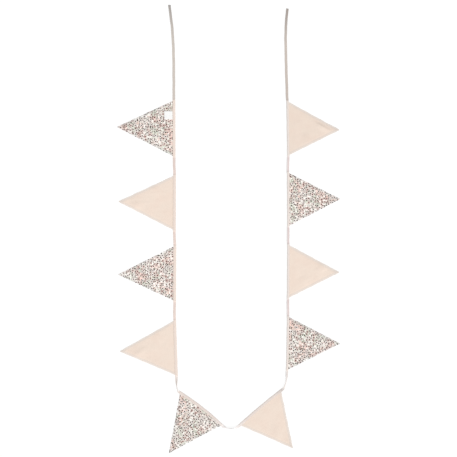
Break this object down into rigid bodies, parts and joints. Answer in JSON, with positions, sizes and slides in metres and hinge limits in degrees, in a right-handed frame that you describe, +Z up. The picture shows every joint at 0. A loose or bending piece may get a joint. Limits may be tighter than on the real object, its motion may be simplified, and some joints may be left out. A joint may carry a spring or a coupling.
{
  "type": "fabric bunting",
  "caption": "Fabric bunting laid flat in a long U: triangular cotton pennants, printed and plain in turn, sewn into a narrow folded tape with free tie ends.",
  "frame": {"origin": "on the surface that the bunting lies on, under the middle of the whole layout", "axes": "+Z up from the surface; +Y along the two legs of the U, towards the free tie ends; +X across the U, so the pennants on the right leg point towards +X"},
  "size_m": [0.7376, 1.4866, 0.0092],
  "materials": {
    "print_cotton": "plain weave cotton with a small floral print, matt",
    "plain_cotton": "plain weave cotton in pale blush, matt",
    "tape_cotton": "folded cotton tape, matt, stitched along its open edge",
    "label_satin": "white woven satin, bare"
  },
  "bodies": {
    "root": {"binding_tape": "tape_cotton", "pennant_01": "print_cotton", "pennant_02": "plain_cotton", "pennant_03": "print_cotton", "pennant_04": "plain_cotton", "pennant_05": "print_cotton", "pennant_06": "plain_cotton", "pennant_07": "print_cotton", "pennant_08": "plain_cotton", "pennant_09": "print_cotton", "pennant_10": "plain_cotton", "sewn_label": "label_satin"}
  },
  "joints": []
}
